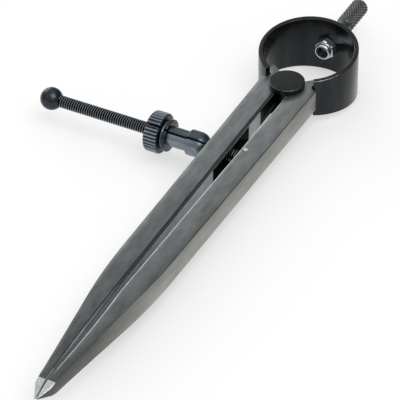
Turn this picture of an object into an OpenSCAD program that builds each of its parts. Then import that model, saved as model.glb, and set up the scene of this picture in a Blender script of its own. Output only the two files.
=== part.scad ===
// Marking divider with a bow spring, a fulcrum stud, two pointed legs and a split quick nut.
// Laid flat: +Y runs from the points to the handle, +Z stands up out of the flat, sizes in mm.

/* [Legs] */
// Fulcrum axis to the points
leg_length = 254; // [200:1:300]
// Leg width from inner face to outer face
leg_w = 11.8; // [11:0.1:15]
// Leg thickness, up out of the flat
leg_t = 12.2; // [11:0.1:16]
// Gap between the inner faces at the fulcrum with the points closed
leg_gap = 6.5; // [5:0.1:8]
// Half the gap left between the closed points
tip_clear = 0.3; // [0.1:0.05:0.5]
// Length of the narrowing part of each leg, from the point
taper_length = 90; // [60:1:120]
// Half length of the curve that starts the narrowing
taper_blend = 17; // [5:1:25]
// Length of the thinning part of each leg, from the point
thin_length = 75; // [50:1:110]
// Length of the ground faces above and below the point
facet_length = 10; // [6:0.5:16]
// Leg thickness where the ground faces start
facet_t = 7.2; // [4:0.1:9]
// Length of the ground face on the outside of the point
bevel_length = 7; // [4:0.5:12]
// Leg width where the outside ground face starts
bevel_w = 3.8; // [3:0.1:6]
// Width of the point itself
tip_w = 0.5; // [0.3:0.1:1]
// Depth of the relieved face beside the fulcrum
relief_depth = 1.4; // [0.5:0.1:2.5]
// Fulcrum axis to the end of the relieved face
relief_length = 24; // [15:0.5:30]
// Sloped run-out of the relieved face
relief_runout = 8; // [3:0.5:12]
// Leg end above the fulcrum axis
leg_top = 13.8; // [11:0.1:15]
// Height above the fulcrum axis where the slanted leg end starts
end_start = 5.9; // [4:0.1:7]
// Corner cut on the leg end
end_corner = 1.1; // [0.5:0.1:2]

/* [Bow] */
// Outer radius of the bow
bow_r = 25.5; // [24:0.5:30]
// Strip thickness
bow_t = 2.5; // [1.6:0.1:3.2]
// Strip width at its ends
bow_end_w = 21.2; // [18:0.2:26]
// Strip width at the handle
bow_far_w = 31; // [26:0.5:36]
// Fulcrum axis to the bow centre
bow_y = 24.7; // [22:0.1:28]
// Half the distance between the strip ends
bow_end_x = 13.3; // [12.8:0.1:14]
// Clearance of a strip end in its leg groove
groove_clear = 0.3; // [0.2:0.05:0.6]

/* [Handle] */
// Grip diameter
grip_d = 9.6; // [8:0.1:12]
// Grip length
grip_len = 21; // [14:0.5:40]
// Neck diameter
neck_d = 7.5; // [7:0.1:8.5]
// Neck length between bow and grip
neck_len = 17.3; // [8:0.1:22]
// Chamfer at the near end of the grip
grip_chamfer = 0.9; // [0.3:0.1:1.5]
// Rounded far end, along the grip
grip_crown = 1.5; // [0.8:0.1:3]
// Stud diameter
stud_d = 6; // [5:0.5:6]

/* [Lock nut] */
// Width across flats
nut_af = 10; // [10:0.5:13]
// Height of the six-sided part
nut_hex_h = 4.1; // [3:0.1:8]
// Collar diameter
nut_collar_d = 8.8; // [8:0.1:10]
// Collar height
nut_collar_h = 2.3; // [2.1:0.1:5]
// Insert outer diameter
insert_d = 7.6; // [7:0.1:8]
// Insert thickness
insert_t = 1.6; // [1.2:0.1:2]
// Rolled lip thickness in front of the insert
lip_t = 0.5; // [0.3:0.1:0.8]

/* [Fulcrum] */
// Core diameter between the legs
core_d = 12; // [11:0.1:13]
// Head diameter
head_d = 18; // [16:0.5:21]
// Head thickness
head_t = 2.8; // [2:0.1:4.5]
// Edge chamfer of the head
head_chamfer = 0.5; // [0.2:0.1:1]
// Diameter of the riveted end
rivet_d = 8; // [6:0.1:10]
// Running clearance of legs on the core
core_clear = 0.05; // [0.03:0.01:0.1]
// Side clearance between the legs and the heads
side_clear = 0.2; // [0.1:0.05:0.4]

/* [Screw] */
// Thread diameter
screw_d = 6.35; // [5:0.05:7]
// Fulcrum axis to the screw axis
screw_y = 56.5; // [50:0.5:65]
// Centre line to the swivel pin
pin_x = 5.2; // [5:0.1:7]
// Swivel pin diameter
pin_d = 2.6; // [2:0.1:3]
// Pin end standing proud of the leg
pin_proud = 0.2; // [0:0.05:0.5]
// Running clearance of the eye on the pin
pin_clear = 0.05; // [0.03:0.01:0.1]
// Eye diameter
eye_d = 7.6; // [7:0.1:8]
// Ball diameter
ball_d = 11.8; // [10:0.1:14]
// Pin to ball centre
ball_reach = 109.4; // [105:0.1:125]
// Depth of the screw end in the ball
ball_socket = 9; // [5:0.5:10]
// Greatest swing of each leg, in degrees
swing_max = 25; // [20:1:28]

/* [Leg pockets] */
// Length of the pocket in the inner face
pocket_len = 40; // [32:0.5:45]
// Depth of the pocket
pocket_depth = 8; // [7.5:0.1:8.5]
// Height of the pocket
pocket_h = 8.6; // [8.2:0.1:9.5]
// Clearance of the screw in the leg
pass_clear = 0.35; // [0.25:0.05:0.5]

/* [Split nut] */
// Wheel diameter
wheel_d = 21; // [18:0.5:24]
// Wheel width
wheel_w = 7.7; // [6:0.1:9]
// Ridges around the wheel
wheel_ridges = 32; // [20:2:44]
// Depth of the ridges
ridge_depth = 0.55; // [0.3:0.05:0.8]
// Edge chamfer of the wheel
wheel_chamfer = 0.8; // [0.4:0.1:1.2]
// Groove diameter behind the wheel
groove_d = 12.6; // [11.5:0.1:14]
// Groove width
groove_w = 1.5; // [1.4:0.1:3]
// Flange diameter
flange_d = 16.6; // [15:0.1:19]
// Flange width
flange_w = 1.8; // [1.4:0.1:4]
// Edge chamfer of flange and collar
flange_chamfer = 0.5; // [0.2:0.1:0.8]
// Sleeve diameter
sleeve_d = 10.3; // [9.5:0.1:12]
// Sleeve length
sleeve_len = 10.6; // [7:0.1:12]
// Collar and rounded nose diameter
nose_d = 13.2; // [12.5:0.1:16]
// Straight part of the collar
collar_len = 4.7; // [4:0.1:8]
// Nose to leg clearance with the points closed
nose_clear = 0.7; // [0.65:0.05:1.2]
// Slit between the halves
slit_w = 1.2; // [0.8:0.1:2]
// Tilt of the slit from upright, in degrees
slit_turn = 35; // [0:5:90]
// Running clearance of the nut on the screw
nut_clear = 0.075; // [0.03:0.005:0.1]
// Ring wire diameter
wire_d = 1.1; // [0.8:0.1:1.2]
// Running clearance of the ring in its groove
wire_clear = 0.08; // [0.05:0.01:0.1]
// Opening of the ring, in degrees
wire_open = 24; // [10:1:40]

/* [Hidden] */
// Round faces
$fn = 96;
// Straight pieces in the curve that starts the narrowing
blend_steps = 10;
// Overrun of cutting shapes
over = 2;

// Bow
bow_ri = bow_r - bow_t;
end_angle = asin(bow_end_x / bow_r);
bow_far = bow_y + bow_r;
bow_slope = (bow_far_w - bow_end_w) / 2 / (bow_r + bow_r * cos(end_angle));
handle_end = bow_far + neck_len + grip_len;

// Legs
function inner_x(y) = tip_clear + (leg_gap / 2 - tip_clear) * (1 + y / leg_length);
function outer_x(y) = inner_x(y) + leg_w;
taper_y = taper_length - leg_length;
bevel_y = bevel_length - leg_length;
blend_low = taper_y - taper_blend;
blend_low_w = bevel_w + (leg_w - bevel_w) * (blend_low - bevel_y) / (taper_y - bevel_y);
function blend_w(s) = (1 - s) * (1 - s) * blend_low_w + (1 - (1 - s) * (1 - s)) * leg_w;
function blend_y(s) = blend_low + 2 * taper_blend * s;
face_tilt = atan((leg_gap / 2 - tip_clear) / leg_length);

// Groove for a strip end, worked out from the bow
groove_low = [bow_end_x - groove_clear * 0.5, bow_y - bow_r * cos(end_angle) - groove_clear * 1.5];
groove_top_r = bow_ri - groove_clear;
groove_top_angle = end_angle - groove_clear / bow_ri * 180 / PI;
groove_in = [groove_top_r * sin(groove_top_angle), bow_y - groove_top_r * cos(groove_top_angle)];
lip_x = outer_x(0);
lip_y = bow_y - sqrt(groove_top_r * groove_top_r - lip_x * lip_x);

// Pocket cut by a round cutter
cutter_r = (pocket_len * pocket_len / 4 + pocket_depth * pocket_depth) / (2 * pocket_depth);

// Passage of the screw through the left leg over the whole swing
pin_reach = norm([pin_x, screw_y]);
pin_lean = atan2(pin_x, screw_y);
pass_r = screw_d / 2 + pass_clear;
pass_far_y = -(outer_x(-screw_y) * tan(swing_max) + pin_reach * cos(pin_lean + swing_max) / cos(swing_max));
pass_low_y = pass_far_y - screw_d / 2 * (1 / cos(swing_max) - 1);

// Lock nut
nut_back = bow_y + sqrt(bow_ri * bow_ri - nut_af * nut_af / 4);
nut_front = nut_back - nut_hex_h - nut_collar_h;
insert_y = nut_front + lip_t;

// Split nut along the screw, all as distances out from the centre line
nut_bore = screw_d / 2 + nut_clear;
nose_r = nose_d / 2;
nose_rim = sqrt(nose_r * nose_r - nut_bore * nut_bore);
nose_at = outer_x(-screw_y) + nose_clear + nose_rim;
collar_at = nose_at + collar_len;
flange_at = collar_at + sleeve_len;
groove_at = flange_at + flange_w;
wheel_at = groove_at + groove_w;
wheel_end = wheel_at + wheel_w;
wire_r = groove_d / 2 + wire_clear + wire_d / 2;
ball_x = ball_reach - pin_x;

// Heads of the fulcrum
head_low = leg_t / 2 + side_clear;
head_high = head_low + head_t;

// Origin under the middle of the whole tool
x_low = -(ball_x + ball_d / 2);
x_high = max(bow_r, outer_x(leg_top));
shift = [-(x_low + x_high) / 2, -(handle_end - leg_length) / 2, max(bow_far_w / 2, wheel_d / 2, head_high)];

module placed() translate(shift) children();

// Turns a shape drawn about Z so that it lies along +Y
module along_y() rotate([-90, 0, 0]) children();

// Turns a shape drawn about Z so that it lies along -X
module along_minus_x() rotate([0, -90, 0]) children();

module leg_outline() {
  polygon(concat(
    [[inner_x(-leg_length), -leg_length],
     [inner_x(-leg_length) + tip_w, -leg_length],
     [inner_x(bevel_y) + bevel_w, bevel_y]],
    [for (i = [0 : blend_steps])
      [inner_x(blend_y(i / blend_steps)) + blend_w(i / blend_steps), blend_y(i / blend_steps)]],
    [[lip_x, groove_low[1]],
     groove_low,
     groove_in,
     [lip_x, lip_y],
     [outer_x(leg_top - end_corner), leg_top - end_corner],
     [outer_x(leg_top) - end_corner, leg_top],
     [inner_x(end_start) + relief_depth, end_start],
     [inner_x(relief_runout - relief_length) + relief_depth, relief_runout - relief_length],
     [inner_x(-relief_length), -relief_length]]));
}

// Thickness of a leg seen from the side, drawn with Y across and Z up
module leg_side() {
  polygon([[leg_top + over, -leg_t / 2],
           [leg_top + over, leg_t / 2],
           [thin_length - leg_length, leg_t / 2],
           [facet_length - leg_length, facet_t / 2],
           [-leg_length, tip_w / 2],
           [-leg_length, -tip_w / 2],
           [facet_length - leg_length, -facet_t / 2],
           [thin_length - leg_length, -leg_t / 2]]);
}

// Leg on the +X side, with its seat on the core and its pocket for the screw
module leg_blank() {
  difference() {
    intersection() {
      linear_extrude(height = leg_t, center = true) leg_outline();
      rotate([90, 0, 90]) linear_extrude(height = 2 * (leg_gap + leg_w)) leg_side();
    }
    cylinder(r = core_d / 2 + core_clear, h = leg_t + over, center = true);
    translate([inner_x(-screw_y) + pocket_depth - cutter_r, -screw_y, 0])
      cylinder(r = cutter_r, h = pocket_h, center = true);
  }
}

module right_leg() {
  color("dimgray") placed() difference() {
    leg_blank();
    translate([pin_x, -screw_y, 0]) cylinder(d = pin_d, h = leg_t + over, center = true);
  }
}

module left_leg() {
  color("dimgray") placed() mirror([1, 0, 0]) difference() {
    leg_blank();
    rotate([90, 0, 90]) linear_extrude(height = leg_gap + leg_w + over) {
      translate([pass_low_y, -pass_r]) square([-screw_y - pass_low_y, 2 * pass_r]);
      for (y = [-screw_y, pass_low_y]) translate([y, 0]) circle(r = pass_r);
    }
  }
}

module bow_spring() {
  color("darkslategray") placed() translate([0, bow_y, 0]) difference() {
    cylinder(r = bow_r, h = bow_far_w, center = true);
    cylinder(r = bow_ri, h = bow_far_w + over, center = true);
    linear_extrude(height = bow_far_w + over, center = true)
      polygon([[0, 0],
               [-2 * bow_r * sin(end_angle), -2 * bow_r * cos(end_angle)],
               [2 * bow_r * sin(end_angle), -2 * bow_r * cos(end_angle)]]);
    for (side = [-1, 1])
      rotate([90, 0, 90]) linear_extrude(height = 2 * (bow_r + over), center = true)
        polygon([[-bow_r, side * (bow_end_w / 2 - bow_slope * bow_r * (1 - cos(end_angle)))],
                 [bow_r, side * bow_far_w / 2],
                 [bow_r, side * bow_far_w],
                 [-bow_r, side * bow_far_w]]);
    along_y() cylinder(d = stud_d, h = bow_r + over);
  }
}

module handle() {
  color("gray") placed() difference() {
    translate([0, bow_far, 0]) along_y() rotate_extrude()
      polygon([[0, insert_y + insert_t / 2 - bow_far],
               [stud_d / 2, insert_y + insert_t / 2 - bow_far],
               [stud_d / 2, -bow_t],
               [neck_d / 2, -bow_t],
               [neck_d / 2, neck_len],
               [grip_d / 2 - grip_chamfer, neck_len],
               [grip_d / 2, neck_len + grip_chamfer],
               [grip_d / 2, neck_len + grip_len - grip_crown],
               [grip_d / 2 - grip_crown / 2, neck_len + grip_len - grip_crown / 3],
               [grip_d / 2 - grip_crown * 1.5, neck_len + grip_len],
               [0, neck_len + grip_len]]);
    translate([0, bow_y, 0]) difference() {
      cylinder(r = bow_r, h = bow_far_w, center = true);
      along_y() cylinder(d = stud_d, h = bow_r);
    }
  }
}

module lock_nut() {
  color("silver") placed() translate([0, nut_front, 0]) along_y() difference() {
    union() {
      intersection() {
        translate([0, 0, nut_collar_h]) rotate([0, 0, 30])
          cylinder(d = nut_af / cos(30), h = nut_hex_h, $fn = 6);
        rotate_extrude() polygon([[0, 0],
                                  [nut_af / 2, nut_collar_h],
                                  [nut_af / 2 / cos(30), nut_collar_h + nut_af / 2 / cos(30) - nut_af / 2],
                                  [nut_af / 2 / cos(30), nut_collar_h + nut_hex_h],
                                  [0, nut_collar_h + nut_hex_h]]);
      }
      rotate_extrude() polygon([[0, 0],
                                [nut_collar_d / 2 - lip_t, 0],
                                [nut_collar_d / 2, lip_t],
                                [nut_collar_d / 2, nut_collar_h],
                                [0, nut_collar_h]]);
    }
    cylinder(d = stud_d, h = nut_collar_h + nut_hex_h + over);
    translate([0, 0, lip_t]) cylinder(d = insert_d, h = insert_t);
    translate([0, 0, -over]) cylinder(d = (stud_d + insert_d) / 2, h = over + lip_t);
  }
}

module lock_nut_insert() {
  color("midnightblue") placed() translate([0, insert_y, 0]) along_y() difference() {
    cylinder(d = insert_d, h = insert_t);
    translate([0, 0, -over]) cylinder(d = stud_d, h = insert_t + 2 * over);
  }
}

module fulcrum_stud() {
  color("darkslategray") placed() rotate_extrude()
    polygon([[0, -head_high],
             [rivet_d / 2, -head_high],
             [rivet_d / 2, -head_low],
             [core_d / 2, -head_low],
             [core_d / 2, head_low],
             [head_d / 2 - head_chamfer, head_low],
             [head_d / 2, head_low + head_chamfer],
             [head_d / 2, head_high - head_chamfer],
             [head_d / 2 - head_chamfer, head_high],
             [0, head_high]]);
}

module fulcrum_washer() {
  color("darkslategray") placed() rotate_extrude()
    polygon([[rivet_d / 2, -head_high],
             [head_d / 2 - head_chamfer, -head_high],
             [head_d / 2, head_chamfer - head_high],
             [head_d / 2, -head_low - head_chamfer],
             [head_d / 2 - head_chamfer, -head_low],
             [rivet_d / 2, -head_low]]);
}

module swivel_pin() {
  color("lightgray") placed() translate([pin_x, -screw_y, -leg_t / 2])
    cylinder(d = pin_d, h = leg_t + pin_proud);
}

module adjusting_screw() {
  color("dimgray") placed() translate([pin_x, -screw_y, 0]) difference() {
    union() {
      cylinder(d = eye_d, h = eye_d, center = true);
      along_minus_x() cylinder(d = screw_d, h = ball_reach - ball_d / 2 + ball_socket);
    }
    cylinder(r = pin_d / 2 + pin_clear, h = eye_d + over, center = true);
  }
}

module ball_stop() {
  color("dimgray") placed() translate([-ball_x, -screw_y, 0]) along_minus_x() difference() {
    sphere(d = ball_d);
    translate([0, 0, -ball_d]) cylinder(d = screw_d, h = ball_d / 2 + ball_socket);
  }
}

// Whole nut before it is split, along -X from the nose
module nut_body() {
  translate([0, -screw_y, 0]) difference() {
    union() {
      along_minus_x() translate([0, 0, nose_at]) sphere(r = nose_r);
      along_minus_x() rotate_extrude()
        polygon([[0, nose_at],
                 [nose_r, nose_at],
                 [nose_r, collar_at - flange_chamfer],
                 [nose_r - flange_chamfer, collar_at],
                 [sleeve_d / 2, collar_at],
                 [sleeve_d / 2, flange_at],
                 [flange_d / 2 - flange_chamfer, flange_at],
                 [flange_d / 2, flange_at + flange_chamfer],
                 [flange_d / 2, groove_at - flange_chamfer],
                 [flange_d / 2 - flange_chamfer, groove_at],
                 [groove_d / 2, groove_at],
                 [groove_d / 2, wheel_at],
                 [0, wheel_at]]);
      intersection() {
        along_minus_x() translate([0, 0, wheel_at]) linear_extrude(height = wheel_w) wheel_outline();
        along_minus_x() rotate_extrude()
          polygon([[0, wheel_at],
                   [wheel_d / 2 - wheel_chamfer, wheel_at],
                   [wheel_d / 2 + over, wheel_at + wheel_chamfer + over],
                   [wheel_d / 2 + over, wheel_end - wheel_chamfer - over],
                   [wheel_d / 2 - wheel_chamfer, wheel_end],
                   [0, wheel_end]]);
      }
    }
    along_minus_x() cylinder(r = nut_bore, h = wheel_end + over);
  }
}

module wheel_outline() {
  polygon([for (i = [0 : 2 * wheel_ridges - 1])
    let (r = wheel_d / 2 - (i % 2) * ridge_depth, a = i * 180 / wheel_ridges) [r * cos(a), r * sin(a)]]);
}

// Half of the nut: side 1 is the upper half, side -1 the lower
module nut_half(side) {
  difference() {
    nut_body();
    translate([-wheel_end - over, -screw_y, 0]) rotate([slit_turn, 0, 0])
      translate([0, side > 0 ? -wheel_d : -slit_w / 2, -wheel_d])
        cube([wheel_end + over, wheel_d + slit_w / 2, 2 * wheel_d]);
  }
}

module nut_half_upper() color("dimgray") placed() nut_half(1);

module nut_half_lower() color("gray") placed() nut_half(-1);

module nut_ring() {
  color("silver") placed() translate([-(groove_at + wheel_at) / 2, -screw_y, 0]) along_minus_x() difference() {
    rotate_extrude() translate([wire_r, 0]) circle(d = wire_d);
    linear_extrude(height = 2 * wire_d, center = true)
      polygon([[0, 0],
               [-2 * wire_r * cos(wire_open / 2), -2 * wire_r * sin(wire_open / 2)],
               [-2 * wire_r * cos(wire_open / 2), 2 * wire_r * sin(wire_open / 2)]]);
  }
}

bow_spring();
handle();
lock_nut();
lock_nut_insert();
fulcrum_stud();
fulcrum_washer();
right_leg();
swivel_pin();
left_leg();
adjusting_screw();
ball_stop();
nut_half_upper();
nut_half_lower();
nut_ring();
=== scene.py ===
# Marking divider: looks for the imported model, in its own frame.
# Lengths are mm from the fulcrum axis, +Y towards the handle and +Z up.
import math
import bmesh
import bpy
from mathutils import Matrix, Vector


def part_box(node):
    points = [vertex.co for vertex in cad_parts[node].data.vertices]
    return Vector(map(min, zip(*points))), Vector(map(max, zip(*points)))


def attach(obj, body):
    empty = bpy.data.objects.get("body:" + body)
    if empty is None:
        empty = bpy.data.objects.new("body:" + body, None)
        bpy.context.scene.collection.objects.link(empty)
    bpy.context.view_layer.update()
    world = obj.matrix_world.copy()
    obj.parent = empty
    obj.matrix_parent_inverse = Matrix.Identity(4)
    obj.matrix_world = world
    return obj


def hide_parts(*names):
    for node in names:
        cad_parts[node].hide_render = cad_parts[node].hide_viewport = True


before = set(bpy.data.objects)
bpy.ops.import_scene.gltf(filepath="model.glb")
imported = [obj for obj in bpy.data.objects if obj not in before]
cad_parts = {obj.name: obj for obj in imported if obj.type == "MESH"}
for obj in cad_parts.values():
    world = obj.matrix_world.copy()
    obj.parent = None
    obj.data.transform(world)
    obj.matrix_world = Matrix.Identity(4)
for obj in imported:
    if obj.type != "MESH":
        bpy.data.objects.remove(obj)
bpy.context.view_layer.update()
mm = 0.001
scene = bpy.context.scene
studLow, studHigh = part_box("fulcrum_stud")
fulcrum = (studLow + studHigh) / 2
screwY, pinX = -56.5, 5.2   # the screw's axis, and the pin that it swivels on
onAxis, onScrew, onPin = (0, 0, 0), (0, screwY, 0), (pinX, screwY, 0)
print("frame loaded,", len(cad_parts), "nodes, fulcrum at", [round(v / mm, 2) for v in fulcrum])


# building helpers

def solid(name, verts, faces):
    weld = 0.002 * mm
    bm = bmesh.new()
    made = [bm.verts.new(fulcrum + Vector(v) * mm) for v in verts]
    for f in faces:
        bm.faces.new([made[i] for i in f])
    bmesh.ops.remove_doubles(bm, verts=bm.verts, dist=weld)
    bmesh.ops.dissolve_degenerate(bm, edges=bm.edges, dist=weld)
    bmesh.ops.recalc_face_normals(bm, faces=bm.faces)
    mesh = bpy.data.meshes.new(name)
    bm.to_mesh(mesh)
    bm.free()
    obj = bpy.data.objects.new(name, mesh)
    scene.collection.objects.link(obj)
    return obj


# skins rings of points, open ones with a cap at each end
def loft(rings, looped=False):
    n, count = len(rings[0]), len(rings)
    verts = [p for ring in rings for p in ring]
    faces = []
    for k in range(count if looped else count - 1):
        a, b = k * n, (k + 1) % count * n
        faces += [(a + i, a + (i + 1) % n, b + (i + 1) % n, b + i) for i in range(n)]
    if not looped:
        faces += [tuple(range(n)), tuple(range((count - 1) * n, count * n))]
    return verts, faces


# turns a profile of (along, radius) about an axis through centre; shape may change the radius
def turned(profile, axis, centre, columns, shape=None):
    rings = []
    for h, r in profile:
        ring = []
        for i in range(columns):
            t = 2 * math.pi * i / columns
            q = shape(t, h, r) if shape else r
            u, v = q * math.cos(t), q * math.sin(t)
            spot = {"x": (h, u, v), "y": (u, h, v), "z": (u, v, h)}[axis]
            ring.append(tuple(a + b for a, b in zip(centre, spot)))
        rings.append(ring)
    return rings


# rounds the corners of a profile, closed ones all the way round
def soften(profile, cut, closed=False):
    pts = [Vector(p) for p in profile]
    out = [] if closed else [pts[0]]
    for k in range(len(pts)) if closed else range(1, len(pts) - 1):
        a, b, c = pts[k - 1], pts[k], pts[(k + 1) % len(pts)]
        d = min(cut, (a - b).length * 0.4, (c - b).length * 0.4)
        p, q = b + (a - b).normalized() * d, b + (c - b).normalized() * d
        out += [p * (1 - t) ** 2 + b * 2 * t * (1 - t) + q * t * t for t in (0, 0.25, 0.5, 0.75, 1)]
    return out if closed else out + [pts[-1]]


# a turned piece from its own dictionary; a closed profile makes a ring
def lathe(piece, axis, centre, closed=False, shape=None):
    profile = soften(piece["profile"], piece["round"], closed)
    return loft(turned(profile, axis, centre, piece["columns"], shape), closed)


# reads a value from a table of (place, value) that runs down the leg
def between(table, y):
    for (ya, va), (yb, vb) in zip(table, table[1:]):
        if ya >= y >= yb:
            return va + (vb - va) * (ya - y) / (ya - yb)
    return table[0][1] if y > table[0][0] else table[-1][1]


# swaps the object's mesh for the one its modifiers make
def bake(obj):
    deps = bpy.context.evaluated_depsgraph_get()
    mesh = bpy.data.meshes.new_from_object(obj.evaluated_get(deps))
    obj.modifiers.clear()
    old, obj.data = obj.data, mesh
    bpy.data.meshes.remove(old)


# gives a piece its coats, and each face the one that pick names
def paint(obj, coats, pick=None):
    for m in coats:
        obj.data.materials.append(m)
    if pick:
        for p in obj.data.polygons:
            p.material_index = pick(p)


def keep(obj, body, node=None, angle=32):
    mesh = obj.data
    mesh.polygons.foreach_set("use_smooth", [True] * len(mesh.polygons))
    mesh.set_sharp_from_angle(angle=math.radians(angle))
    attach(obj, body)
    if node:
        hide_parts(node)
    print("made", obj.name, len(mesh.polygons), "faces")


# materials

mathNode, vectorNode, rangeNode = "ShaderNodeMath", "ShaderNodeVectorMath", "ShaderNodeMapRange"
mappingNode, noiseNode, axesNode = "ShaderNodeMapping", "ShaderNodeTexNoise", "ShaderNodeSeparateXYZ"


def linear(text):
    parts = [int(text[i:i + 2], 16) / 255 for i in (1, 3, 5)]
    return tuple(c / 12.92 if c <= 0.04045 else ((c + 0.055) / 1.055) ** 2.4 for c in parts) + (1,)


# adds a node: props are its properties, or just its operation; an input is a constant, a socket, or a node
# whose first output is meant; i0, i1 are inputs by number
def addNode(tree, kind, props=None, **inputs):
    node = tree.nodes.new(kind)
    if isinstance(props, str):
        props = {"operation": props}
    for k, v in (props or {}).items():
        setattr(node, k, v)
    for k, v in inputs.items():
        socket = node.inputs[int(k[1:]) if k[0] == "i" and k[1:].isdigit() else k.replace("_", " ")]
        if isinstance(v, bpy.types.Node):
            v = v.outputs[0]
        if isinstance(v, bpy.types.NodeSocket):
            tree.links.new(v, socket)
        else:
            socket.default_value = v
    return node


# two tones mixed by a patchy noise, a finish that varies, fine lines or grain in the surface, sizes in mm;
# fades darken along an axis, crest lightens what stands far from an axis, oil is a thin clear film
def metal(name, dark, light, patch, rough, grain, lift, metallic=1.0, fades=(), crest=None, oil=0.0):
    mat = bpy.data.materials.new(name)
    mat.use_nodes = True
    tree = mat.node_tree
    shader = tree.nodes["Principled BSDF"]
    shader.inputs["Metallic"].default_value = metallic
    shader.inputs["Coat Weight"].default_value = oil
    shader.inputs["Coat Roughness"].default_value = 0.16
    coords = addNode(tree, "ShaderNodeTexCoord").outputs["Object"]
    cloud = addNode(tree, mappingNode, Vector=coords, Scale=[1 / (g * mm) for g in patch])
    blotch = addNode(tree, noiseNode, Vector=cloud, Scale=1.0, Detail=6.0, Roughness=0.6)
    tone = addNode(tree, "ShaderNodeValToRGB", Fac=blotch.outputs["Fac"])
    for stop, place, text in zip(tone.color_ramp.elements, (0.32, 0.68), (dark, light)):
        stop.position, stop.color = place, linear(text)
    spread = addNode(tree, mappingNode, Vector=coords, Scale=[1 / (g * mm) for g in grain])
    lines = addNode(tree, noiseNode, Vector=spread, Scale=1.0, Detail=3.0, Roughness=0.55).outputs["Fac"]
    finish = addNode(tree, rangeNode, Value=lines, From_Min=0.3, From_Max=0.7, To_Min=rough[0], To_Max=rough[1])
    bump = addNode(tree, "ShaderNodeBump", Height=lines, Strength=0.35, Distance=lift * mm)
    colour = tone.outputs["Color"]
    for axis, start, end, darkest in fades:
        zero = fulcrum["XYZ".index(axis)]
        along = addNode(tree, axesNode, Vector=coords).outputs[axis]
        share = addNode(tree, rangeNode, Value=along, From_Min=zero + end * mm, From_Max=zero + start * mm,
                        To_Min=darkest, To_Max=1.0)
        colour = addNode(tree, vectorNode, "SCALE", i0=colour, Scale=share).outputs[0]
    if crest:
        centre = fulcrum + Vector(crest["centre"]) * mm
        across = addNode(tree, mappingNode, Vector=coords, Scale=crest["mask"],
                         Location=[-c * k for c, k in zip(centre, crest["mask"])])
        reach = addNode(tree, vectorNode, "LENGTH", i0=across).outputs["Value"]
        share = addNode(tree, rangeNode, Value=reach, From_Min=crest["low"] * mm, From_Max=crest["high"] * mm)
        colour = addNode(tree, "ShaderNodeMix", {"data_type": "RGBA"}, i0=share, i6=colour,
                         i7=linear(crest["tone"])).outputs[2]
    tree.links.new(colour, shader.inputs["Base Color"])
    tree.links.new(finish.outputs["Result"], shader.inputs["Roughness"])
    tree.links.new(bump.outputs["Normal"], shader.inputs["Normal"])
    return mat


# grinding and turning lines are finer than this on the real tool, and are drawn coarse enough to show

# tool steel ground lengthwise and lightly oiled: dull grey with faint straight lines, darker towards the points
groundSteel = metal("ground tool steel", "#6b6f70", "#858a8a", patch=(4, 12, 4), rough=(0.34, 0.48),
                    grain=(0.16, 14, 0.16), lift=0.012, metallic=0.92, fades=[("Y", -22.75, -242.75, 0.4)])
# the legs' outer sides, ground finer: lighter and warmer as painted light, darker towards the points, and painted
# shade towards the top
litSideSteel = metal("fine ground tool steel with painted light", "#90918b", "#a7a8a2", patch=(6, 22, 6), rough=(0.36, 0.5),
                  grain=(3, 0.3, 3), lift=0.01, metallic=0.85,
                  fades=[("Y", -167.75, -217.75, 0.37), ("Z", -6, 6.1, 0.66)])
# the bevels along the inner edges, ground by hand: painted shade makes them dark above, mid grey and uneven towards
# the points
shadedBevelSteel = metal("hand ground tool steel with painted shade", "#8a8e91", "#a9adae", patch=(2, 6, 2), rough=(0.36, 0.5),
                   grain=(0.3, 3, 0.3), lift=0.012, metallic=0.6, fades=[("Y", -212.75, -167.75, 0.24)])
# the faces between the legs, milled across: a pale copy as painted light where they lie in shade, with fine cross
# lines
litFacedSteel = metal("milled tool steel with painted light", "#b4babc", "#cfd4d6", patch=(3, 6, 3), rough=(0.4, 0.55),
                   grain=(3, 0.3, 3), lift=0.012, metallic=0.3, fades=[("Y", -52.75, -152.75, 0.62)])
# broken edges: a painted highlight where they lean towards -x and on the right leg's upper eased edge, painted shade
# where they lean towards +x and round the pin
highlightEdgeSteel = metal("steel edge with painted highlight", "#a3a7a7", "#c5c8c7", patch=(2, 5, 2), rough=(0.26, 0.4),
                    grain=(0.3, 2, 0.3), lift=0.006, metallic=0.5)
shadeEdgeSteel = metal("steel edge with painted shade", "#1d1f20", "#2b2e2f", patch=(2, 6, 2), rough=(0.4, 0.55),
                  grain=(0.3, 2, 0.3), lift=0.006, metallic=0.8)
# points ground after hardening: bright, with coarse cross lines
tipSteel = metal("fresh ground steel", "#a0a3a3", "#c6c9c9", patch=(1.5, 1.5, 1.5), rough=(0.28, 0.42),
                 grain=(2.5, 0.18, 2.5), lift=0.012, metallic=0.7)
# drawn wire, cut and peened: bright and slightly dimpled
pinSteel = metal("bright drawn steel", "#b3b5b6", "#cfd0d1", patch=(1, 1, 1), rough=(0.22, 0.36),
                 grain=(0.5, 0.5, 0.5), lift=0.006, metallic=0.6)
# spring strip, black oxide with oil in it: nearly black, with soft upright bands
blackOxide = metal("black oxide spring steel", "#141617", "#2b2e30", patch=(7, 7, 60), rough=(0.16, 0.3),
                   grain=(0.5, 0.5, 3), lift=0.006, metallic=0.8, oil=0.1)
# the same oxide on a turned head, finer
headOxide = metal("black oxide turned steel", "#171919", "#232627", patch=(4, 4, 4), rough=(0.28, 0.42),
                  grain=(0.6, 0.6, 0.6), lift=0.01, metallic=0.8, oil=0.1)
# oxide worn through at corners: grey steel in broken streaks
wornOxide = metal("worn black oxide", "#2c2f30", "#8d9192", patch=(1.6, 1.6, 1.6), rough=(0.26, 0.4),
                  grain=(0.6, 0.6, 0.6), lift=0.01)
# forged recesses that no wheel reaches: dull black scale
scaleSteel = metal("dark forged steel", "#0d0e0f", "#17191a", patch=(3, 3, 3), rough=(0.45, 0.6),
                   grain=(0.4, 0.4, 0.4), lift=0.03, metallic=0.6)
# blued steel: blue-black with a clear sheen
blueSteel = metal("blued steel", "#2c3136", "#42484e", patch=(3, 3, 3), rough=(0.14, 0.26),
                  grain=(0.8, 0.15, 0.8), lift=0.008)
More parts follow.
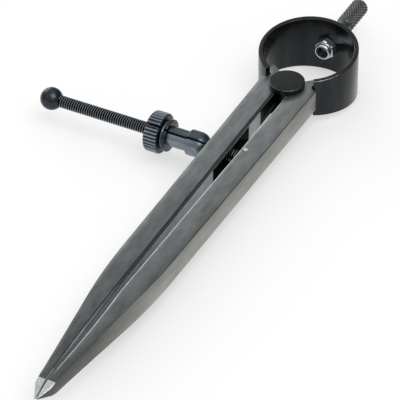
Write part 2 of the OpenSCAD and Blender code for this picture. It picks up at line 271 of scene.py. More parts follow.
# the same on the thread: roots dark with oil and painted shade, crests lighter grey as a painted highlight
threadSteel = metal("blued screw steel", "#1b1f22", "#2b3034", patch=(3, 3, 3), rough=(0.26, 0.4),
                    grain=(0.8, 0.15, 0.8), lift=0.006,
                    crest=dict(mask=(0, 1, 1), centre=onScrew, low=2.9, high=3.16, tone="#838b91"))
# blued steel with a painted sheen: a little lighter, with lines round the axis
sheenBlueSteel = metal("blued steel with painted sheen", "#3c434a", "#59626a", patch=(8, 3, 3), rough=(0.16, 0.28),
                     grain=(0.12, 4, 4), lift=0.004)
# turned steel: silver-blue, with lines round the axis; on the nut's lower half its pale tone is a painted reflection
brightSteel = metal("bright turned steel", "#68717a", "#86909a", patch=(8, 3, 3), rough=(0.2, 0.32),
                    grain=(0.12, 4, 4), lift=0.004)
# the wheel's ridges: valleys dark with painted shade, crests rubbed grey and lighter as a painted highlight
wheelSteel = metal("worn blued steel with painted shade", "#2d3338", "#434a50", patch=(2, 2, 2), rough=(0.26, 0.4),
                   grain=(0.4, 0.2, 0.2), lift=0.012,
                   crest=dict(mask=(0, 1, 1), centre=onScrew, low=9.9, high=10.45, tone="#929ca5"))
# zinc plate: bright, slightly blue, soft spangle
zincPlate = metal("zinc plate", "#c2c9ce", "#e6eaec", patch=(5, 5, 5), rough=(0.14, 0.26),
                  grain=(1.2, 1.2, 1.2), lift=0.003, metallic=0.95)
# knurled steel holding oil: dark between the diamonds with oil and painted shade, grey on their points as a painted
# highlight
gripSteel = metal("oiled knurled steel with painted shade", "#414441", "#505350", patch=(3, 3, 3), rough=(0.34, 0.5),
                  grain=(0.4, 0.4, 0.4), lift=0.01,
                  crest=dict(mask=(1, 0, 1), centre=onAxis, low=4.2, high=4.78, tone="#6a6d69"))
# the handle's neck, turned and oiled: plain grey with lines round it
neckSteel = metal("oiled turned steel", "#484b48", "#5b5e5a", patch=(3, 3, 3), rough=(0.3, 0.44),
                  grain=(2, 0.15, 2), lift=0.008)
# nylon, moulded: dark blue with a low sheen
blueNylon = metal("blue nylon", "#101a2e", "#1b2a44", patch=(2, 2, 2), rough=(0.38, 0.5),
                  grain=(0.6, 0.6, 0.6), lift=0.01, metallic=0.0)
print("materials made")


# legs: the upper part drawn in plan, the tapering part as rings, then cut and given broken edges

leg = dict(length=254, width=11.8, half=6.1, gap=6.5, clear=0.3,
           taperY=-164, blend=17, bevelY=-247, bevelWidth=3.8, tipWidth=0.5,
           thinY=-179, facetY=-244, facetHalf=3.6, tipHalf=0.25,
           grooveLow=(13.15, 2.493), grooveIn=(11.585, 5.179), grooveTop=7.706,
           top=13.8, corner=1.1, endY=5.9, endIn=1.4, seatY=-6, straightY=-24, join=-140)
eased = {1: 0.45, -1: 0.95}   # inner edge cut off, right leg and left leg
# inner edge bevel and outer edge rounding of the tapering part, by distance along the leg
innerBevel = [(-190, 1.0), (-205, 1.15), (-218, 1.0), (-230, 0.65), (-240, 0.35), (-247, 0.2), (-254, 0.04)]
outerRound = [(-184, 0), (-205, 0.3), (-222, 0.6), (-236, 0.65), (-245, 0.45), (-254, 0.05)]
stations = [-140, -147, -152, -157, -162, -165, -169, -174, -179, -184, -190, -197, -204, -211,
            -218, -225, -231, -236, -240, -244, -247, -250.5, -254]
# the crowned faces bend at these shares of the width, and are cut across here to shade evenly
crownLines = (0.15, 0.32, 0.5, 0.66, 0.8)
crossLines = list(range(-128, -60, 10)) + [-58.4, -54.6] + list(range(-48, 12, 10))
crown = dict(inner=0.45, innerPower=1.8, innerFade=[(-222, 1), (-246, 0)],
             outer=0.18, outerPower=2.5, outerFade=[(-110, 1), (-175, 0)], depth=1.5, lowY=-246)
rim = dict(width=0.5, depth=1.75, lowY=-238, seat=7.2, angle=24, shortest=0.8, pin=1.5, pinWeight=0.3,
           inner=1.6, innerY=-222, innerWeight=0.5, tipWeight=0.2, outerWeight=[(-140, 0.55), (-186, 0.06)])
slope = (leg["gap"] / 2 - leg["clear"]) / leg["length"]
legCoats = (groundSteel, scaleSteel, tipSteel, litFacedSteel, litSideSteel, highlightEdgeSteel, shadeEdgeSteel, shadedBevelSteel)
ground, scale, tip, litFaced, litSide, highlightEdge, shadeEdge, bevel = range(len(legCoats))
# where the coats change along the leg
zones = dict(recessEnd=-24.5, recessDeep=9, pocketFrom=-30, pocketTo=-80, pocketHalf=4.4, facedFrom=-20,
             highlightEdgeTo=-188, taperPlain=-165, outerPlain=-200, tipFrom=-244.5, pinRim=2)


def innerX(y):
    return leg["gap"] / 2 + slope * y


def legWidth(y):
    wide, end = leg["width"], leg["bevelWidth"]
    low, high = leg["taperY"] - leg["blend"], leg["taperY"] + leg["blend"]
    lean = (wide - end) / (leg["taperY"] - leg["bevelY"])
    if y >= high:
        return wide
    if y < leg["bevelY"]:
        return leg["tipWidth"] + (end - leg["tipWidth"]) * (y + leg["length"]) / (leg["bevelY"] + leg["length"])
    if y < low:
        return end + lean * (y - leg["bevelY"])
    s = (y - low) / (high - low)
    return wide - (1 - s) ** 2 * (wide - end - lean * (low - leg["bevelY"]))


def legHalf(y):
    thinning = [(leg["thinY"], leg["half"]), (leg["facetY"], leg["facetHalf"]), (-leg["length"], leg["tipHalf"])]
    return between(thinning, y)


# distance of a point from the pin's axis
def fromPin(c):
    return math.hypot(c.x - pinX, c.y - screwY)


def legRing(y, side):
    xi, xo, h = innerX(y), innerX(y) + legWidth(y), legHalf(y)
    b, c = between([(-174, 0), (-179, eased[side])] + innerBevel, y), between(outerRound, y)
    upper = [(xi, h - b), (xi + b, h)] + [(xi + b + (xo - xi - b - c) * k, h) for k in crownLines]
    upper += [(xo - c, h), (xo - 0.3 * c, h - 0.36 * c), (xo, h - 1.2 * c)]
    return [(x, y, z) for x, z in upper] + [(x, y, -z) for x, z in reversed(upper)]


def legBlank(name, side):
    wide, outer = leg["width"], innerX(0) + leg["width"]
    cornerY = leg["top"] - leg["corner"]
    across = [(innerX(leg["join"]) + wide * k, leg["join"]) for k in (0,) + crownLines + (1,)]
    plan = across + [(outer, leg["grooveLow"][1]), leg["grooveLow"], leg["grooveIn"], (outer, leg["grooveTop"]),
                     (innerX(cornerY) + wide, cornerY), (innerX(leg["top"]) + wide - leg["corner"], leg["top"]),
                     (innerX(leg["endY"]) + leg["endIn"], leg["endY"]),
                     (innerX(leg["seatY"]), leg["seatY"]), (innerX(leg["straightY"]), leg["straightY"])]
    n = len(plan)
    verts = [(x, y, z) for z in (leg["half"], -leg["half"]) for x, y in plan]
    faces = [tuple(range(n)), tuple(range(n, 2 * n))]
    faces += [(i, (i + 1) % n, n + (i + 1) % n, n + i) for i in range(len(across) - 1, n)]
    lower, lowerFaces = loft([legRing(y, side) for y in stations])
    # both parts stay open where they join
    faces += [tuple(2 * n + i for i in f) for f in lowerFaces if len(f) == 4 or f[0] != 0]
    return solid(name, [(side * x, y, z) for x, y, z in verts + lower], faces)


# cuts the inner edges off at 45 degrees, and lines along the flat faces for their crown
def easeEdges(obj, side):
    bm = bmesh.new()
    bm.from_mesh(obj.data)
    run = Vector((side * slope, 1, 0))
    for up in (1, -1):
        spot = fulcrum + Vector((side * innerX(0), 0, up * (leg["half"] - eased[side]))) * mm
        facing = run.cross(Vector((side, 0, up)))
        facing *= 1 if facing.z * up > 0 else -1
        everything = bm.verts[:] + bm.edges[:] + bm.faces[:]
        bmesh.ops.bisect_plane(bm, geom=everything, dist=1e-7, plane_co=spot, plane_no=facing, clear_outer=True)
        bmesh.ops.holes_fill(bm, edges=[e for e in bm.edges if e.is_boundary], sides=0)
    cuts = [((side * (innerX(0) + leg["width"] * k), 0, 0), (1, -side * slope, 0)) for k in crownLines]
    cuts += [((0, y, 0), (0, 1, 0)) for y in crossLines]
    lowest = fulcrum.y + (leg["join"] + 1) * mm
    for spot, facing in cuts:
        flats = [f for f in bm.faces if abs(f.normal.z) > 0.99 and max(v.co.y for v in f.verts) > lowest]
        parts = list({v for f in flats for v in f.verts}) + list({e for f in flats for e in f.edges}) + flats
        bmesh.ops.bisect_plane(bm, geom=parts, dist=1e-6, plane_co=fulcrum + Vector(spot) * mm, plane_no=facing)
    bmesh.ops.recalc_face_normals(bm, faces=bm.faces)
    bm.to_mesh(obj.data)
    bm.free()


# lets the flat faces fall away towards their edges, as hand grinding leaves them
def crownFaces(obj, side):
    for v in obj.data.vertices:
        c = (v.co - fulcrum) / mm
        if abs(c.z) > legHalf(c.y) - crown["depth"] and c.y > crown["lowY"]:
            share = min(max((c.x * side - innerX(c.y)) / legWidth(c.y), 0), 1)
            if share < 0.5:
                drop = crown["inner"] * (1 - 2 * share) ** crown["innerPower"] * between(crown["innerFade"], c.y)
            else:
                drop = crown["outer"] * (2 * share - 1) ** crown["outerPower"] * between(crown["outerFade"], c.y)
            v.co.z -= math.copysign(drop, c.z) * mm


# how far an edge of the flat faces is broken, as a share of the bevel's width
def rimWeight(e, side):
    ends = [(v.co - fulcrum) / mm for v in e.verts]
    onFlat = all(abs(c.z) > legHalf(c.y) - rim["depth"] and c.y > rim["lowY"] for c in ends)
    onSeat = any(math.hypot(c.x, c.y) <= rim["seat"] for c in ends)
    if not onFlat or onSeat or len(e.link_faces) != 2 or e.calc_face_angle() <= math.radians(rim["angle"]):
        return 0
    pin = min(fromPin(c) for c in ends) < rim["pin"]
    inner = min(c.x * side - innerX(c.y) for c in ends) < rim["inner"]
    reached = inner or ends[0].y > rim["outerWeight"][-1][0]
    if not pin and (e.calc_length() <= rim["shortest"] * mm or not reached):
        return 0
    if inner:
        return rim["innerWeight"] if ends[0].y > rim["innerY"] else rim["tipWeight"]
    return rim["pinWeight"] if pin else between(rim["outerWeight"], (ends[0].y + ends[1].y) / 2)


# breaks the long edges of the flat faces, and the pin hole's, by a small bevel with its own coat
def breakEdges(obj, side):
    bm = bmesh.new()
    bm.from_mesh(obj.data)
    weight = bm.edges.layers.float.new("bevel_weight_edge")
    for e in bm.edges:
        e[weight] = rimWeight(e, side)
    bm.to_mesh(obj.data)
    bm.free()
    edge = obj.modifiers.new("edges", "BEVEL")
    edge.width, edge.segments, edge.limit_method = rim["width"] * mm, 2, "WEIGHT"
    edge.use_clamp_overlap, edge.material = False, highlightEdge
    bake(obj)


def legCoat(p, side):
    c, n = (p.center - fulcrum) / mm, p.normal
    inward, deep = -n.x * side, c.x * side - innerX(c.y)
    besideCore = c.y > zones["recessEnd"] and inward > 0.4 and deep < zones["recessDeep"]
    inPocket = zones["pocketTo"] < c.y < zones["pocketFrom"] and abs(c.z) < zones["pocketHalf"]
    if besideCore or (inPocket and 0.4 < deep < legWidth(c.y) - 0.3):
        return scale
    if c.y < zones["tipFrom"] and abs(n.z) > 0.15:
        return tip
    if p.material_index == highlightEdge:   # a broken edge: painted shade towards +x, painted highlight towards -x, or no different
        plain = abs(n.z) < 0.15 or abs(n.x) < 0.25 or (inward < 0 and (side < 0 or c.y < zones["outerPlain"]))
        plain = plain or (c.y < zones["taperPlain"] and 0 < abs(n.z) < 0.5)
        # a painted shadow round the pin
        if fromPin(c) < zones["pinRim"]:
            return shadeEdge
        return ground if plain else shadeEdge if n.x > 0 else highlightEdge
    if inward > 0.5 and 0.4 < abs(n.z) < 0.9:   # an eased inner edge: a painted highlight on the right leg's upper part, elsewhere the bevel coat with its painted shade
        return highlightEdge if side > 0 and c.y > zones["highlightEdgeTo"] else bevel
    # the faces between the legs take the pale copy, painted light
    if inward > 0.9 and c.y < zones["facedFrom"]:
        return litFaced
    # the outer sides take the lighter copy, painted light
    return litSide if inward < -0.8 else p.material_index


# what is cut from a leg: seat on the core, pocket, recess beside the core, and the pin's hole or the screw's slot
cutter = dict(reach=9, seat=6.05, pocket=29, pocketBack=21, pocketHalf=4.3, pinHole=1.3,
              slot=3.525, slotEnd=-61.12, slotFrom=-30, slotTo=2,
              recess=[(-2.2, -3), (1.4, -3), (1.4, -16), (-0.53, -27), (-2.2, -27)], recessLow=-3.4, recessHigh=4.2)


# a section of the slot, with round ends
def slotRing(x):
    ring = []
    for k in range(48):
        t = 2 * math.pi * k / 48
        end = screwY if math.cos(t) > 0 else cutter["slotEnd"]
        ring.append((x, end + cutter["slot"] * math.cos(t), cutter["slot"] * math.sin(t)))
    return ring


def drum(name, radius, half, centre, columns):
    return solid(name, *loft(turned([(-half, radius), (half, radius)], "z", centre, columns)))


def cutters(side):
    pocketSpot = (side * (innerX(screwY) - cutter["pocketBack"]), screwY, 0)
    recess = [[(side * (innerX(y) + d), y, z) for d, y in cutter["recess"]]
              for z in (cutter["recessLow"], cutter["recessHigh"])]
    if side > 0:
        through = drum("cutPin", cutter["pinHole"], cutter["reach"], onPin, 32)
    else:
        through = solid("cutSlot", *loft([slotRing(cutter["slotFrom"]), slotRing(cutter["slotTo"])]))
    return [drum("cutSeat", cutter["seat"], cutter["reach"], onAxis, 96),
            drum("cutPocket", cutter["pocket"], cutter["pocketHalf"], pocketSpot, 256),
            solid("cutRecess", *loft(recess)), through]


for name, side, body in (("rightLeg", 1, "right_leg"), ("leftLeg", -1, "left_leg")):
    made = legBlank(name, side)
    easeEdges(made, side)
    tools = cutters(side)
    for tool in tools:
        cut = made.modifiers.new("cut", "BOOLEAN")
        cut.object, cut.operation, cut.solver = tool, "DIFFERENCE", "EXACT"
    bake(made)
    for tool in tools:
        bpy.data.objects.remove(tool)
    paint(made, legCoats)
    crownFaces(made, side)
    breakEdges(made, side)
    for p in made.data.polygons:
        p.material_index = legCoat(p, side)
    keep(made, body, body, 30)


# bow: a flat strip bent round, wider at the handle, with rounded edges and broken ends

bow = dict(radius=25.5, thick=2.5, y=24.7, endHalf=10.6, farHalf=15.5, endAngle=31.435, endY=2.943, rise=47.257,
           corner=0.5, steps=200, endCut=0.25, endTurn=0.012, wornBelow=14)


def bowRing(phi, shrink):
    ring = []
    k = bow["corner"]
    mid, half = bow["radius"] - bow["thick"] / 2, bow["thick"] / 2 - shrink
    for sr, sz, start in ((1, 1, 0), (-1, 1, 90), (-1, -1, 180), (1, -1, 270)):
        for step in range(5):
            a = math.radians(start + 22.5 * step)
            r = mid + sr * (half - k) + k * math.cos(a)
            y = bow["y"] - r * math.cos(phi)
            h = bow["endHalf"] + (bow["farHalf"] - bow["endHalf"]) * (y - bow["endY"]) / bow["rise"] - shrink
            ring.append((r * math.sin(phi), y, sz * (h - k) + k * math.sin(a)))
    return ring


# the upper edge on the right side, towards the legs, takes the worn coat
def bowCoat(p):
    c = (p.center - fulcrum) / mm
    return 1 if 0.45 < p.normal.z < 0.9 and c.y < bow["wornBelow"] and c.x > 0 else 0


first, last = math.radians(bow["endAngle"]), math.radians(360 - bow["endAngle"])
span = last - first - 2 * bow["endTurn"]
phis = [first + bow["endTurn"] + span * i / bow["steps"] for i in range(bow["steps"] + 1)]
rings = [bowRing(first, bow["endCut"])] + [bowRing(p, 0) for p in phis] + [bowRing(last, bow["endCut"])]
strip = solid("bowStrip", *loft(rings))
paint(strip, (blackOxide, wornOxide), bowCoat)
keep(strip, "bow", "bow_spring")


# fulcrum: core with a flat head on top, worn at its edge, and a washer riveted on below

stud = dict(profile=[(-9.1, 0), (-9.1, 3.2), (-8.8, 4.0), (-6.3, 4.0), (-6.3, 6.0), (6.3, 6.0), (6.3, 9.0),
                     (9.1, 9.0), (9.1, 0)], round=0.55, columns=128)
washer = dict(profile=[(-9.1, 4.3), (-9.1, 9.0), (-6.3, 9.0), (-6.3, 4.0), (-8.8, 4.0)], round=0.5, columns=128)


def headCoat(p):
    return 1 if 0.5 < p.normal.z < 0.85 else 0


headPiece = solid("fulcrumStud", *lathe(stud, "z", onAxis))
paint(headPiece, (headOxide, wornOxide), headCoat)
keep(headPiece, "fulcrum", "fulcrum_stud")
washerPiece = solid("fulcrumWasher", *lathe(washer, "z", onAxis, True))
paint(washerPiece, (headOxide,))
keep(washerPiece, "fulcrum", "fulcrum_washer")


# handle: neck and grip turned, the diamonds of the knurl set on with Geometry Nodes

knurl = dict(around=18, rows=14, crest=4.8, depth=0.5, start=68.4, length=18.4, stretch=1.75, flat=0.16,
             sunk=0.02, short=0.01)
root = knurl["crest"] - knurl["depth"]
handle = dict(profile=[(43.4, 0), (43.4, 2.6), (43.8, 3.0), (47.72, 3.0), (47.72, 3.75), (67.3, 3.75), (67.5, 3.95),
                       (68.3, root), (86.9, root), (88.0, 3.7), (88.5, 2.3), (88.5, 0)],
              round=0.5, columns=96, gripFrom=68.2, gripTo=86.9)


def handleCoat(p):
    return 0 if handle["gripFrom"] < (p.center.y - fulcrum.y) / mm < handle["gripTo"] else 1


core = solid("handleCore", *lathe(handle, "y", onAxis))
paint(core, (gripSteel, neckSteel), handleCoat)
keep(core, "bow", "handle")


# a node group with named inputs, given as name and socket type
def newGroup(name, inputs):
    group = bpy.data.node_groups.new(name, "GeometryNodeTree")
    for label, kind in inputs.items():
        group.interface.new_socket(label, in_out="INPUT", socket_type="NodeSocket" + kind)
    group.interface.new_socket("Geometry", in_out="OUTPUT", socket_type="NodeSocketGeometry")
    return group, group.nodes.new("NodeGroupInput").outputs


# ends a group in a real mesh with its material, and makes an object from it
def grow(name, group, geometry, metalSocket, settings):
    real = addNode(group, "GeometryNodeRealizeInstances", Geometry=geometry)
    coated = addNode(group, "GeometryNodeSetMaterial", Geometry=real, Material=metalSocket)
    addNode(group, "NodeGroupOutput", Geometry=coated)
    obj = bpy.data.objects.new(name, bpy.data.meshes.new(name))
    scene.collection.objects.link(obj)
    mod = obj.modifiers.new("grow", "NODES")
    mod.node_group = group
    for item in group.interface.items_tree:
        if item.item_type == "SOCKET" and item.in_out == "INPUT":
            mod[item.identifier] = settings[item.name]
    bake(obj)
    return obj


# every other row is turned by half a diamond
tree, given = newGroup("diamond knurl", {"Around": "Int", "Rows": "Int", "Root": "Float", "Depth": "Float",
                                         "Start": "Float", "Step": "Float", "Half width": "Float",
                                         "Stretch": "Float", "Flat": "Float", "Centre": "Vector", "Metal": "Material"})
index = addNode(tree, "GeometryNodeInputIndex")
row = addNode(tree, mathNode, "FLOOR", i0=addNode(tree, mathNode, "DIVIDE", i0=index, i1=given["Around"]))
shift = addNode(tree, mathNode, "MULTIPLY", i0=addNode(tree, mathNode, "MODULO", i0=row, i1=2.0), i1=0.5)
within = addNode(tree, mathNode, "MODULO", i0=index, i1=given["Around"])
column = addNode(tree, mathNode, "ADD", i0=within, i1=shift)
share = addNode(tree, mathNode, "DIVIDE", i0=column, i1=given["Around"])
turnBy = addNode(tree, mathNode, "MULTIPLY", i0=share, i1=2 * math.pi)
outward = addNode(tree, "ShaderNodeCombineXYZ", X=addNode(tree, mathNode, "COSINE", i0=turnBy),
                  Z=addNode(tree, mathNode, "SINE", i0=turnBy))
middle = addNode(tree, mathNode, "ADD", i0=row, i1=0.5)
stepped = addNode(tree, mathNode, "MULTIPLY", i0=middle, i1=given["Step"])
along = addNode(tree, mathNode, "ADD", i0=given["Start"], i1=stepped)
lifted = addNode(tree, vectorNode, "SCALE", i0=outward, Scale=given["Root"])
spot = addNode(tree, vectorNode, "ADD", i0=lifted, i1=addNode(tree, "ShaderNodeCombineXYZ", Y=along))
placed = addNode(tree, vectorNode, "ADD", i0=spot, i1=given["Centre"])
count = addNode(tree, mathNode, "MULTIPLY", i0=given["Around"], i1=given["Rows"])
points = addNode(tree, "GeometryNodePoints", Count=count, Position=placed)
facing = addNode(tree, "FunctionNodeAxesToRotation", {"primary_axis": "Z", "secondary_axis": "X"},
                 i0=outward, i1=(0.0, 1.0, 0.0))
narrow = addNode(tree, mathNode, "MULTIPLY", i0=given["Half width"], i1=given["Flat"])
tooth = addNode(tree, "GeometryNodeMeshCone", {"fill_type": "NGON"}, Vertices=4, Radius_Top=narrow,
                Radius_Bottom=given["Half width"], Depth=given["Depth"])
longer = addNode(tree, "ShaderNodeCombineXYZ", X=given["Stretch"], Y=1.0, Z=1.0)
teeth = addNode(tree, "GeometryNodeInstanceOnPoints", Points=points, Instance=tooth, Rotation=facing, Scale=longer)
diamonds = grow("gripKnurl", tree, teeth, given["Metal"], {
    "Around": knurl["around"], "Rows": knurl["rows"],
    "Root": (root - knurl["sunk"]) * mm, "Depth": (knurl["depth"] - knurl["short"]) * mm,
    "Start": knurl["start"] * mm, "Step": knurl["length"] / knurl["rows"] * mm,
    "Half width": math.pi * root / knurl["around"] * mm, "Stretch": knurl["stretch"], "Flat": knurl["flat"],
    "Centre": fulcrum[:], "Metal": gripSteel})
keep(diamonds, "bow", None, 20)


# lock nut with a collar, and its nylon ring

lockNut = dict(profile=[(40.75, 3.4), (40.75, 3.85), (41.25, 4.4), (43.05, 4.4), (43.05, 4.9), (43.82, 5.774),
                        (46.6, 5.774), (47.1, 5.3), (47.1, 3.0), (42.85, 3.0), (42.85, 3.8), (41.25, 3.8),
                        (41.15, 3.4)],
               round=0.2, columns=180, halfFlats=5)
nylonRing = dict(profile=[(41.2, 2.72), (41.2, 3.78), (42.85, 3.78), (42.85, 2.72)], round=0.2, columns=96)


def hexShape(t, h, r):
    return min(r, lockNut["halfFlats"] / math.cos((t + math.pi / 6) % (math.pi / 3) - math.pi / 6))


lockPiece = solid("lockNut", *lathe(lockNut, "y", onAxis, True, hexShape))
paint(lockPiece, (zincPlate,))
keep(lockPiece, "bow", "lock_nut", 24)
nylonPiece = solid("nylonRing", *lathe(nylonRing, "y", onAxis, True))
paint(nylonPiece, (blueNylon,))
keep(nylonPiece, "bow", "lock_nut_insert")


# swivel pin, peened over on top

pin = dict(profile=[(-6.1, 0), (-6.1, 1.1), (-5.9, 1.28), (6.02, 1.28), (6.24, 1.12), (6.3, 0.5), (6.3, 0)],
           round=0.15, columns=48)
pinPiece = solid("swivelPin", *lathe(pin, "z", onPin))
paint(pinPiece, (pinSteel,))
keep(pinPiece, "right_leg", "swivel_pin")


# adjusting screw: eye and core turned, the thread wound on with Geometry Nodes, a ball at the end

rod = dict(profile=[(-100.5, 0), (-100.5, 2.44), (1.6, 2.44), (1.6, 0)], round=0.2, columns=48)
eye = dict(profile=[(-3.8, 1.35), (-3.8, 3.8), (3.8, 3.8), (3.8, 1.35)], round=0.5, columns=64)
thread = dict(pitch=1.27, crest=3.175, height=0.75, first=0.2, last=-99.0, steps=28, bottom=0.2, top=0.8)
ball = dict(radius=5.9, x=-104.2, bands=48, columns=96)

rodVerts, rodFaces = lathe(rod, "x", onScrew)
eyeVerts, eyeFaces = lathe(eye, "z", onPin, True)
joined = rodFaces + [tuple(len(rodVerts) + i for i in f) for f in eyeFaces]
screwPiece = solid("screwCore", rodVerts + eyeVerts, joined)
paint(screwPiece, (scaleSteel,))
keep(screwPiece, "screw", "adjusting_screw")

# a trapezoid carried along a spiral, which is then laid along -X
tree, given = newGroup("screw thread", {"Pitch": "Float", "Turns": "Float", "Crest": "Float", "Height": "Float",
                                        "Bottom": "Float", "Top": "Float", "Steps": "Int", "Start": "Vector",
                                        "Metal": "Material"})
halfHeight = addNode(tree, mathNode, "MULTIPLY", i0=given["Height"], i1=0.5)
helixRadius = addNode(tree, mathNode, "SUBTRACT", i0=given["Crest"], i1=halfHeight)
length = addNode(tree, mathNode, "MULTIPLY", i0=given["Pitch"], i1=given["Turns"])
helix = addNode(tree, "GeometryNodeCurveSpiral", Resolution=given["Steps"], Rotations=given["Turns"],
                Start_Radius=helixRadius, End_Radius=helixRadius, Height=length)
upright = addNode(tree, "GeometryNodeSetCurveNormal", {"mode": "Z_UP"}, Curve=helix)
ridge = addNode(tree, "GeometryNodeCurvePrimitiveQuadrilateral", {"mode": "TRAPEZOID"}, Height=given["Height"],
                Bottom_Width=addNode(tree, mathNode, "MULTIPLY", i0=given["Pitch"], i1=given["Bottom"]),
                Top_Width=addNode(tree, mathNode, "MULTIPLY", i0=given["Pitch"], i1=given["Top"]), Offset=0.0)
standing = addNode(tree, "GeometryNodeTransform", Geometry=ridge, Rotation=(0.0, 0.0, -math.pi / 2))
wound = addNode(tree, "GeometryNodeCurveToMesh", Curve=upright, Profile_Curve=standing, Fill_Caps=True)
laid = addNode(tree, "GeometryNodeTransform", Geometry=wound, Translation=given["Start"],
               Rotation=(0.0, -math.pi / 2, 0.0))
ridges = grow("screwThread", tree, laid, given["Metal"], {
    "Pitch": thread["pitch"] * mm, "Turns": (thread["first"] - thread["last"]) / thread["pitch"],
    "Crest": thread["crest"] * mm, "Height": thread["height"] * mm, "Bottom": thread["bottom"], "Top": thread["top"],
    "Steps": thread["steps"], "Start": (fulcrum + Vector((thread["first"], screwY, 0)) * mm)[:], "Metal": threadSteel})
keep(ridges, "screw", None, 20)

angles = [math.pi * i / ball["bands"] for i in range(ball["bands"] + 1)]
profile = [(-ball["radius"] * math.cos(a), ball["radius"] * math.sin(a)) for a in angles]
ballPiece = solid("ballStop", *loft(turned(profile, "x", (ball["x"], screwY, 0), ball["columns"])))
paint(ballPiece, (blueSteel,))
keep(ballPiece, "screw", "ball_stop", 60)


# split nut: turned whole with its ridged wheel, then slit into two halves

nut = dict(nose=20.84, noseRadius=6.6, noseBands=14, bore=3.25, ridges=34, depth=0.75, sharpness=0.75, wheel=10.5,
           wheelFrom=-39.6, wheelCoat=-39.3, flangeCoat=-35.9, slit=0.6, lean=35, round=0.42,
           profile=[(-24, 6.6), (-25.54, 6.6), (-25.54, 5.15), (-36.14, 5.15), (-36.14, 8.3), (-37.94, 8.3),
                    (-37.94, 6.3), (-39.44, 6.3), (-39.44, 9.75), (-40.2, 10.5), (-46.4, 10.5), (-47.14, 9.75),
                    (-47.14, 3.7), (-46.7, 3.25), (-30, 3.25)])
ring = dict(x=-38.69, radius=6.93, wire=0.55, openHalf=12, steps=120, sides=16, endShare=0.55)


def wheelShape(t, h, r):
    valley = (0.5 - 0.5 * math.cos(nut["ridges"] * t)) ** nut["sharpness"]
    return min(r, nut["wheel"] - nut["depth"] * valley) if h < nut["wheelFrom"] else r


def nutCoat(p):
    along = (p.center.x - fulcrum.x) / mm
    return 0 if along >= nut["flangeCoat"] else 1 if along < nut["wheelCoat"] else 2


# keeps the part of the nut on one side of the slit, and closes the cut
def slitNut(obj, side):
    lean = math.radians(nut["lean"])
    away = Vector((0, math.cos(lean), math.sin(lean))) * side
    bm = bmesh.new()
    bm.from_mesh(obj.data)
    cut = bmesh.ops.bisect_plane(bm, geom=bm.verts[:] + bm.edges[:] + bm.faces[:], dist=1e-8, clear_inner=True,
                                 plane_co=fulcrum + (Vector(onScrew) + away * nut["slit"]) * mm, plane_no=away)
    edges = [e for e in cut["geom_cut"] if isinstance(e, bmesh.types.BMEdge)]
    bmesh.ops.triangle_fill(bm, use_beauty=True, edges=edges)
    bmesh.ops.recalc_face_normals(bm, faces=bm.faces)
    bm.to_mesh(obj.data)
    bm.free()


start = math.asin(nut["bore"] / nut["noseRadius"])
angles = [start + (math.pi / 2 - start) * i / nut["noseBands"] for i in range(nut["noseBands"] + 1)]
profile = [(-nut["nose"] + nut["noseRadius"] * math.cos(a), nut["noseRadius"] * math.sin(a)) for a in angles]
profile += soften(nut["profile"], nut["round"])
# the two halves of one nut take different coats: painted reflection on the lower, painted sheen on the upper
for name, node, side, coat, slot in (("nutUpper", "nut_half_upper", 1, sheenBlueSteel, "dark_steel"),
                                     ("nutLower", "nut_half_lower", -1, brightSteel, "bright_steel")):
    half = solid(name, *loft(turned(profile, "x", onScrew, nut["ridges"] * 10, wheelShape), True))
    slitNut(half, side)
    paint(half, (coat, wheelSteel, blueSteel), nutCoat)
    keep(half, "nut", node, 28)

# the wire ring in the groove, open at the bottom, with rounded ends
gap = math.radians(ring["openHalf"])
around = [2 * math.pi * k / ring["sides"] for k in range(ring["sides"])]
rings = []
for i in range(ring["steps"] + 1):
    a = math.pi + gap + (2 * math.pi - 2 * gap) * i / ring["steps"]
    w = ring["wire"] * (ring["endShare"] if i in (0, ring["steps"]) else 1)
    radii = [ring["radius"] + w * math.sin(t) for t in around]
    rings.append([(ring["x"] + w * math.cos(t), screwY + r * math.sin(a), r * math.cos(a))
                  for t, r in zip(around, radii)])
ringPiece = solid("nutRing", *loft(rings))
paint(ringPiece, (brightSteel,))
keep(ringPiece, "nut_ring", "nut_ring", 50)


# floor, light and camera, in metres

paperLook = dict(half=3, tone="#f4f4f4", rough=0.8, glow=0.5)   # glow hides half of the shadow
room = dict(level=0.5, overhead=1.0, cornerFrom=0.33, cornerTo=1.3, corner=0.35)
lamps = {"key": dict(spot=(0.9, -0.5, 1.9), size=1.6, power=18),
         "fill": dict(spot=(-1.5, 1.0, 0.75), size=1.2, power=9)}
view = dict(lens=270, sensor=36, near=0.1, far=10, spot=(0.567147, -1.011764, 0.921591),
            right=(0.887386, 0.460995, -0.005511), down=(0.284752, -0.557451, -0.779849),
            ahead=(-0.362579, 0.690458, -0.625943))

floorMesh = bpy.data.meshes.new("floor")
h = paperLook["half"]
floorMesh.from_pydata([(-h, -h, 0), (h, -h, 0), (h, h, 0), (-h, h, 0)], [], [(0, 1, 2, 3)])
floor = bpy.data.objects.new("floor", floorMesh)
scene.collection.objects.link(floor)
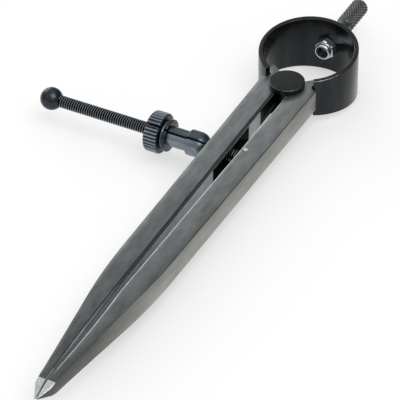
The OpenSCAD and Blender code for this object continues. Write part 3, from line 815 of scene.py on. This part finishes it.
# matt white paper: shows white to the camera and in reflections, and keeps a soft shadow
paper = bpy.data.materials.new("white paper")
paper.use_nodes = True
tree = paper.node_tree
sheet = tree.nodes["Principled BSDF"]
sheet.inputs["Base Color"].default_value = linear(paperLook["tone"])
sheet.inputs["Roughness"].default_value = paperLook["rough"]
path = addNode(tree, "ShaderNodeLightPath").outputs
seen = addNode(tree, mathNode, "MAXIMUM", i0=path["Is Camera Ray"], i1=path["Is Glossy Ray"])
seen = addNode(tree, mathNode, "MAXIMUM", i0=seen, i1=path["Is Transmission Ray"])
glow = addNode(tree, "ShaderNodeEmission", Color=(1, 1, 1, 1), Strength=1.0)
both = addNode(tree, "ShaderNodeMixShader", i1=sheet, i2=glow,
               i0=addNode(tree, mathNode, "MULTIPLY", i0=seen, i1=paperLook["glow"]))
tree.links.new(both.outputs[0], tree.nodes["Material Output"].inputs["Surface"])
floorMesh.materials.append(paper)

# brighter overhead, and darker behind to the right
world = bpy.data.worlds.new("studio")
scene.world = world
world.use_nodes = True
tree = world.node_tree
tree.nodes.clear()
toward = addNode(tree, axesNode, Vector=addNode(tree, "ShaderNodeTexCoord").outputs["Generated"]).outputs
level = addNode(tree, rangeNode, Value=toward["Z"], From_Min=0.0, From_Max=1.0,
                To_Min=room["level"], To_Max=room["overhead"])
behind = addNode(tree, mathNode, "ADD", i0=toward["X"], i1=toward["Y"])
shade = addNode(tree, rangeNode, Value=behind, From_Min=room["cornerFrom"], From_Max=room["cornerTo"],
                To_Min=1.0, To_Max=room["corner"])
strength = addNode(tree, mathNode, "MULTIPLY", i0=level, i1=shade)
sky = addNode(tree, "ShaderNodeBackground", Color=(1, 1, 1, 1), Strength=strength)
addNode(tree, "ShaderNodeOutputWorld", Surface=sky)

for name, lamp in lamps.items():
    light = bpy.data.lights.new(name, "AREA")
    light.size, light.energy = lamp["size"], lamp["power"]
    obj = bpy.data.objects.new(name, light)
    obj.location = lamp["spot"]
    obj.rotation_mode = "QUATERNION"
    obj.rotation_quaternion = (-Vector(lamp["spot"])).to_track_quat("-Z", "Y")
    scene.collection.objects.link(obj)

lens = bpy.data.cameras.new("camera")
lens.lens, lens.sensor_width = view["lens"], view["sensor"]
lens.clip_start, lens.clip_end = view["near"], view["far"]
camera = bpy.data.objects.new("camera", lens)
turnTo = Matrix((Vector(view["right"]), -Vector(view["down"]), -Vector(view["ahead"]))).transposed()
camera.matrix_world = Matrix.Translation(view["spot"]) @ turnTo.to_4x4()
scene.collection.objects.link(camera)
scene.camera = camera
scene.view_settings.view_transform = "Standard"
print("stage set")
